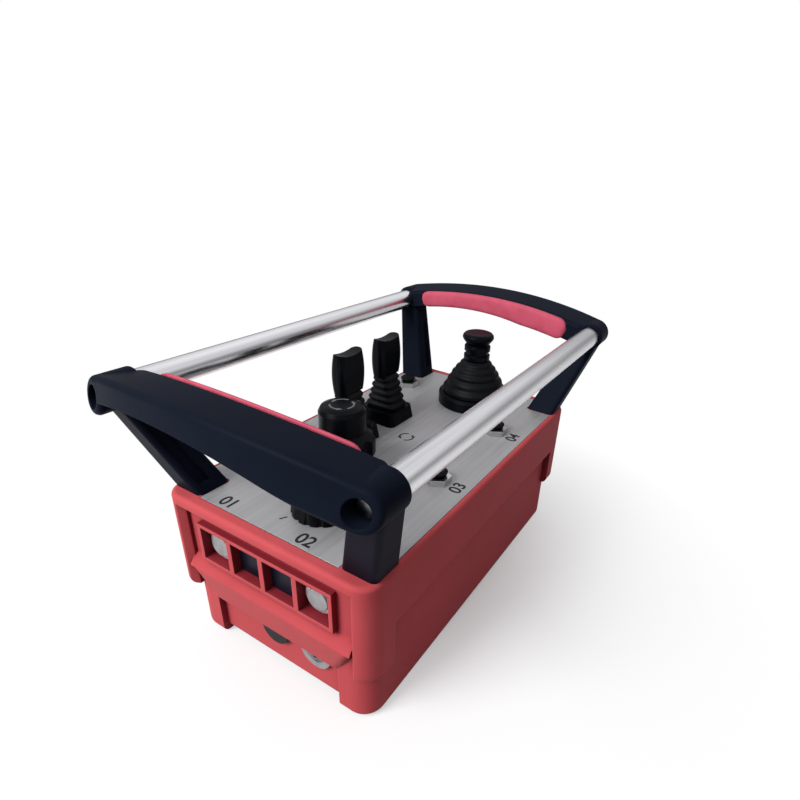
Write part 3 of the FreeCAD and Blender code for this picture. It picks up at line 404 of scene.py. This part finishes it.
# Soft grip pads along the inner faces of the bowed crossbars
BAR_REACH = 27.0
BAR_BOW = 8.5
BAR_DEPTH = 30.0
ARCH_HALF_SPAN = 80.0
ARCH_FRONT = -11.3
ARCH_MIDDLE = 4.7
ARCH_REAR = -1.0
ARCH_TILT = math.radians(8.5)
PAD_TOP = 7.5
PAD_HEIGHT = 17.5
PAD_THICKNESS = 4.0
PAD_HALF_SPAN = 75.0
PAD_END = 9.0
PAD_END_POWER = 2.4
PAD_END_LEAST = 0.04
PAD_END_SHARE = 0.9
PAD_CROWN_POWER = 0.55
PAD_SHOULDER_POWER = 0.62
PAD_STEPS = 90
PAD_ROUND = 24
BAR_FACE_X = PANEL_HALF_X + BAR_REACH
bow = Vector((-BAR_BOW, 0, BAR_BOW))
bow_rise = bow.length
bow.normalize()
bend_radius = (TUBE.y ** 2 + bow_rise ** 2) / (2 * bow_rise)
bend_centre = Vector((-BAR_FACE_X, 0, TUBE.z)) - bow * (bend_radius - bow_rise)
bend_axis = Vector((bow.z, 0, -bow.x))


def arch_height(x, y):
    # Underside of the left crossbar: arched across, tilted down towards the panel
    slope = (ARCH_REAR - ARCH_FRONT) / (2 * ARCH_HALF_SPAN)
    sag = (ARCH_MIDDLE - (ARCH_REAR + ARCH_FRONT) / 2) / ARCH_HALF_SPAN ** 2
    return TUBE.z + ARCH_MIDDLE + slope * y - sag * y * y - math.tan(ARCH_TILT) * (x + BAR_FACE_X)


def signed_power(value, power):
    # Power of the size, with the sign kept
    return math.copysign(abs(value) ** power, value)


def pad_ring(span):
    # Crowned section with a flat back, drawn in and rounded towards the ends
    past = max(0.0, abs(span) - (PAD_HALF_SPAN - PAD_END)) / PAD_END
    draw = max(PAD_END_LEAST, math.sqrt(max(0.0, 1 - past ** PAD_END_POWER)))
    turn = Matrix.Rotation(math.asin(span / bend_radius), 3, bend_axis)
    root = Vector((BAR_DEPTH - BAR_FACE_X - BAR_BOW, 0, TUBE.z + BAR_BOW))
    here = bend_centre + turn @ (root - bend_centre)
    bottom = max(PAD_TOP - PAD_HEIGHT, arch_height(here.x + PAD_THICKNESS, here.y) - here.z)
    half = (PAD_TOP - bottom) / 2 * lerp(1, draw, PAD_END_SHARE)
    points = []
    for i in range(PAD_ROUND):
        angle = 2 * math.pi * i / PAD_ROUND
        across = max(0.0, signed_power(math.cos(angle), PAD_CROWN_POWER)) * PAD_THICKNESS * draw
        upward = signed_power(math.sin(angle), PAD_SHOULDER_POWER) * half
        at = root + Vector((across, 0, (PAD_TOP + bottom) / 2 + upward))
        points.append(bend_centre + turn @ (at - bend_centre))
    return points


for side, mirror in (("left", 1), ("right", -1)):
    spans = [lerp(-PAD_HALF_SPAN, PAD_HALF_SPAN, k / PAD_STEPS) for k in range(PAD_STEPS + 1)]
    rings = [[(p.x * mirror, p.y, p.z) for p in pad_ring(span)] for span in spans]
    pad = skin("soft_grip_" + side, rings if mirror > 0 else rings[::-1], "grip_red")
    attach(pad, "case")
    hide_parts("grip_pad_" + side)

# Printed marks: thin plates, half sunk into the face that carries them
PRINT = 0.12
ARROW_STEPS = 18
HEAD_START = 0.72
HEAD_WIDENING = 2.6
TIP_WIDTH = 0.06


def band(name, outline_pairs, z, mat, body):
    # Thin plate between two matched lines of points, with its middle at height z
    size = 2 * len(outline_pairs)
    points = []
    for level in (z - PRINT / 2, z + PRINT / 2):
        for a, b in outline_pairs:
            points.append((a[0], a[1], level))
            points.append((b[0], b[1], level))
    faces = []
    for p in range(0, size - 2, 2):
        faces.append((size + p, size + p + 1, size + p + 3, size + p + 2))
        faces.append((p, p + 2, p + 3, p + 1))
        faces.append((p, size + p, size + p + 2, p + 2))
        faces.append((p + 1, p + 3, size + p + 3, size + p + 1))
    last = size - 2
    faces.append((0, 1, size + 1, size))
    faces.append((last, size + last, size + last + 1, last + 1))
    obj = mesh_object(name, points, faces, mat, smooth=False)
    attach(obj, body)


def line(name, start, end, width, z, mat="print_black", body="case"):
    # Straight bar from one point to another
    direction = (end - start).normalized()
    side = Vector((-direction.y, direction.x)) * width / 2
    band(name, [(p + side, p - side) for p in (start, end)], z, mat, body)


def outward(degrees):
    # Direction in the plane, turned from +X
    angle = math.radians(degrees)
    return Vector((math.cos(angle), math.sin(angle)))


def arc_arrow(name, centre, radius, width, start, end, z, mat, body):
    # Curved band from one angle to another, in degrees, that ends in a pointed head
    def pair(t, wide):
        out = outward(lerp(start, end, t))
        return centre + out * (radius + wide / 2), centre + out * (radius - wide / 2)

    shares = [k / ARROW_STEPS for k in range(ARROW_STEPS)]
    pairs = [pair(t, width) for t in shares if t < HEAD_START]
    pairs.append(pair(HEAD_START, width))
    pairs.append(pair(HEAD_START, HEAD_WIDENING * width))
    pairs.append(pair(1, TIP_WIDTH))
    band(name, pairs, z, mat, body)


# Plain numbers along two edges of the panel
MARK_HEIGHT = 8.5
FONT_PER_HEIGHT = 1.4
MARK_BOLDNESS = 0.25
END_INSET = 6.0
FRONT_INSET = 8.0
END_MARK_X = END_INSET - PANEL_HALF_X
END_MARK_REAR_Y = 36.0
END_MARK_FRONT_Y = -25.0
FRONT_MARK_Y = FRONT_INSET - PANEL_HALF_Y
READ_FROM_END = -90
READ_FROM_FRONT = 0


def numeral(text, x, y, turn):
    curve = bpy.data.curves.new("numeral_" + text, "FONT")
    curve.body = text
    curve.size = MARK_HEIGHT * MM * FONT_PER_HEIGHT
    curve.extrude = PRINT / 2 * MM
    curve.offset = MARK_BOLDNESS * MM
    curve.align_x = "CENTER"
    curve.align_y = "CENTER"
    draft = bpy.data.objects.new("draft", curve)
    data = bpy.data.meshes.new_from_object(draft)
    bpy.data.objects.remove(draft)
    data.name = "number_" + text
    data.materials.clear()
    data.materials.append(MATS["print_black"])
    place = Matrix.Translation((x * MM, y * MM, PANEL * MM))
    data.transform(place @ Matrix.Rotation(math.radians(turn), 4, "Z"))
    obj = added("number_" + text, data)
    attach(obj, "case")


numeral("01", END_MARK_X, END_MARK_REAR_Y, READ_FROM_END)
numeral("02", END_MARK_X, END_MARK_FRONT_Y, READ_FROM_END)
numeral("03", middle("push_cap_1").x, FRONT_MARK_Y, READ_FROM_FRONT)
numeral("04", middle("push_cap_2").x, FRONT_MARK_Y, READ_FROM_FRONT)

# Ring of three twist arrows on the stop head, angles in degrees
STOP = middle("stop_head")
STOP_TOP = high("stop_head").z
TWIST_ARROWS = 3
TWIST_RADIUS = 7.6
TWIST_WIDTH = 1.1
TWIST_START = 8
TWIST_END = 104
for i in range(TWIST_ARROWS):
    turned = 360 // TWIST_ARROWS * i
    arc_arrow("twist_arrow_%d" % (i + 1), STOP.xy, TWIST_RADIUS, TWIST_WIDTH, turned + TWIST_START,
              turned + TWIST_END, STOP_TOP, "print_pale", "stop_head")

# Turn mark of two arrows on the panel, angles in degrees
TURN_CENTRE = Vector((5, -1))
TURN_ARROWS = 2
TURN_RADIUS = 5.2
TURN_WIDTH = 1.2
TURN_START = 15
TURN_END = 160
for i in range(TURN_ARROWS):
    turned = 360 // TURN_ARROWS * i
    arc_arrow("turn_mark_%d" % (i + 1), TURN_CENTRE, TURN_RADIUS, TURN_WIDTH, turned + TURN_START,
              turned + TURN_END, PANEL, "print_black", "case")

# Position ticks round the selector and a pointer on its knob
KNOB = middle("selector_knob")
KNOB_TOP = high("selector_knob").z
TICK_ANGLES = (30, 90, 150)
TICK_INNER = 22.5
TICK_OUTER = 27.0
TICK_WIDTH = 1.0
POINTER_INNER = Vector((0, 6))
POINTER_OUTER = Vector((0, 15))
POINTER_WIDTH = 1.6
for i, degrees in enumerate(TICK_ANGLES):
    out = outward(degrees)
    line("selector_tick_%d" % (i + 1), KNOB.xy + out * TICK_INNER, KNOB.xy + out * TICK_OUTER,
         TICK_WIDTH, PANEL)
line("selector_pointer", KNOB.xy + POINTER_INNER, KNOB.xy + POINTER_OUTER, POINTER_WIDTH, KNOB_TOP,
     "print_pale", "selector")

# Camera at the photograph's viewing angle, which looks past the middle of the panel
PICTURE_PX = 800
FOCAL_PX = 533.14
CENTRE_X_PX = 450.19
CENTRE_Y_PX = 432.48
AZIMUTH = math.radians(-61.17)
ELEVATION = math.radians(27.72)
ROLL = math.radians(3.92)
DISTANCE = 396.52
OFF_RIGHT = 35.85
OFF_UP = 7.29
SENSOR_WIDTH = 36.0
NEAREST_SEEN = 0.01
level = math.cos(ELEVATION)
back = Vector((math.sin(AZIMUTH) * level, -math.cos(AZIMUTH) * level, math.sin(ELEVATION)))
right = Vector((math.cos(AZIMUTH), math.sin(AZIMUTH), 0))
up = back.cross(right)
place = (back * DISTANCE + right * OFF_RIGHT + up * OFF_UP + Vector((0, 0, PANEL))) * MM
across = right * math.cos(ROLL) + up * math.sin(ROLL)
upward = up * math.cos(ROLL) - right * math.sin(ROLL)
lens = bpy.data.cameras.new("camera")
lens.sensor_width = SENSOR_WIDTH
lens.lens = FOCAL_PX / PICTURE_PX * SENSOR_WIDTH
lens.shift_x = -(CENTRE_X_PX - PICTURE_PX / 2) / PICTURE_PX
lens.shift_y = (CENTRE_Y_PX - PICTURE_PX / 2) / PICTURE_PX
lens.clip_start = NEAREST_SEEN
camera = added("camera", lens)
camera.matrix_world = Matrix.Translation(place) @ Matrix((across, upward, back)).transposed().to_4x4()
bpy.context.scene.camera = camera

# Surroundings: white to the camera, a light sky over a darker horizon in mirrors, softer as a light.
# Each level is a height of the ray and the brightness there.
LIGHT_LEVELS = ((-0.1, 0.10), (0.1, 0.20), (0.4, 0.34), (1.0, 0.75))
MIRROR_LEVELS = ((-0.2, 0.80), (-0.02, 0.50), (0.14, 0.25), (0.30, 0.50), (0.52, 1.0))
SKY_BLUE = 1.03
WHITE = (1, 1, 1, 1)


def any_of(tree, rays):
    # 1 where the ray is of one of the named kinds, else 0
    path = tree.nodes.new("ShaderNodeLightPath")
    hit = path.outputs[rays[0]]
    for ray in rays[1:]:
        either = tree.nodes.new("ShaderNodeMath")
        either.operation = "MAXIMUM"
        tree.links.new(hit, either.inputs[0])
        tree.links.new(path.outputs[ray], either.inputs[1])
        hit = either.outputs[0]
    return hit


def mixed(tree, fac, first, second):
    node = tree.nodes.new("ShaderNodeMixShader")
    tree.links.new(fac, node.inputs["Fac"])
    tree.links.new(first, node.inputs[1])
    tree.links.new(second, node.inputs[2])
    return node.outputs[0]


def sky(tree, height, levels):
    # Background whose brightness goes from level to level with the height of the ray
    lowest = levels[0][0]
    highest = levels[-1][0]
    bands = tree.nodes.new("ShaderNodeValToRGB")
    tree.links.new(remap(tree, height, 0, 1, lowest, highest), bands.inputs["Fac"])
    stops = bands.color_ramp.elements
    for at, _ in levels[1:-1]:
        stops.new((at - lowest) / (highest - lowest))
    for stop, (_, value) in zip(stops, levels):
        stop.color = (value, value, value * SKY_BLUE, 1)
    background = tree.nodes.new("ShaderNodeBackground")
    tree.links.new(bands.outputs["Color"], background.inputs["Color"])
    return background.outputs[0]


def studio_world():
    world = bpy.data.worlds.new("studio")
    world.use_nodes = True
    tree = world.node_tree
    tree.nodes.clear()
    direction = tree.nodes.new("ShaderNodeTexCoord")
    split = tree.nodes.new("ShaderNodeSeparateXYZ")
    tree.links.new(direction.outputs["Generated"], split.inputs["Vector"])
    light = sky(tree, split.outputs["Z"], LIGHT_LEVELS)
    mirrored = sky(tree, split.outputs["Z"], MIRROR_LEVELS)
    white = tree.nodes.new("ShaderNodeBackground")
    white.inputs["Color"].default_value = WHITE
    seen = mixed(tree, any_of(tree, ("Is Glossy Ray", "Is Transmission Ray")), light, mirrored)
    seen = mixed(tree, any_of(tree, ("Is Camera Ray",)), seen, white.outputs[0])
    output = tree.nodes.new("ShaderNodeOutputWorld")
    tree.links.new(seen, output.inputs["Surface"])
    return world


bpy.context.scene.world = studio_world()

# Pale floor, in metres. It keeps the shadow near the object and fades to white further out.
# Mirrors see it lit, and it throws little light back.
FLOOR_HALF = 8.0
FLOOR_DARK = (0.90, 0.90, 0.90)
FLOOR_LIGHT = (0.93, 0.93, 0.93)
FLOOR_PATCH = 3.0
FLOOR_DETAIL = 4.0
FLOOR_ROUGH = 0.9
FLOOR_SPECULAR = 0.1
BOUNCE = 0.22
VIEW_RAYS = ("Is Camera Ray", "Is Transmission Ray")
MIRROR_RAYS = VIEW_RAYS + ("Is Glossy Ray",)
FADE_START = 0.0
FADE_STOP = 0.30


def floor_material():
    mat, tree, shader = node_setup("floor")
    tone = ramp(tree, noise(tree, FLOOR_PATCH, FLOOR_DETAIL), FLOOR_DARK, FLOOR_LIGHT)
    tree.links.new(tone, shader.inputs["Base Color"])
    shader.inputs["Roughness"].default_value = FLOOR_ROUGH
    shader.inputs["Specular IOR Level"].default_value = FLOOR_SPECULAR
    coords = tree.nodes.new("ShaderNodeTexCoord")
    reach = tree.nodes.new("ShaderNodeVectorMath")
    reach.operation = "LENGTH"
    tree.links.new(coords.outputs["Object"], reach.inputs[0])
    fade = tree.nodes.new("ShaderNodeMath")
    fade.operation = "MULTIPLY"
    tree.links.new(remap(tree, reach.outputs["Value"], 0, 1, FADE_START, FADE_STOP), fade.inputs[0])
    tree.links.new(any_of(tree, VIEW_RAYS), fade.inputs[1])
    glow = tree.nodes.new("ShaderNodeEmission")
    glow.inputs["Color"].default_value = WHITE
    seen = mixed(tree, fade.outputs[0], shader.outputs[0], glow.outputs[0])
    dim = tree.nodes.new("ShaderNodeBsdfDiffuse")
    dim.inputs["Color"].default_value = (BOUNCE, BOUNCE, BOUNCE, 1)
    seen = mixed(tree, any_of(tree, MIRROR_RAYS), dim.outputs[0], seen)
    tree.links.new(seen, tree.nodes["Material Output"].inputs["Surface"])
    return mat


corners = [(x * FLOOR_HALF, y * FLOOR_HALF, 0) for x, y in ((-1, -1), (1, -1), (1, 1), (-1, 1))]
floor_data = bpy.data.meshes.new("floor")
floor_data.from_pydata(corners, [], [(0, 1, 2, 3)])
floor_data.materials.append(floor_material())
floor = added("floor", floor_data)

# Key light, in metres and watts, in front of the end with the bays
KEY_PLACE = Vector((-1.3, 0.5, 1.1))
KEY_TARGET = Vector((0, 0, 0.1))
KEY_SIZE = 0.9
KEY_POWER = 33
key_data = bpy.data.lights.new("key", "AREA")
key_data.size = KEY_SIZE
key_data.energy = KEY_POWER
key = added("key", key_data)
key.location = KEY_PLACE
key.rotation_euler = (KEY_TARGET - KEY_PLACE).to_track_quat("-Z", "Y").to_euler()

bpy.context.scene.view_settings.view_transform = "Standard"
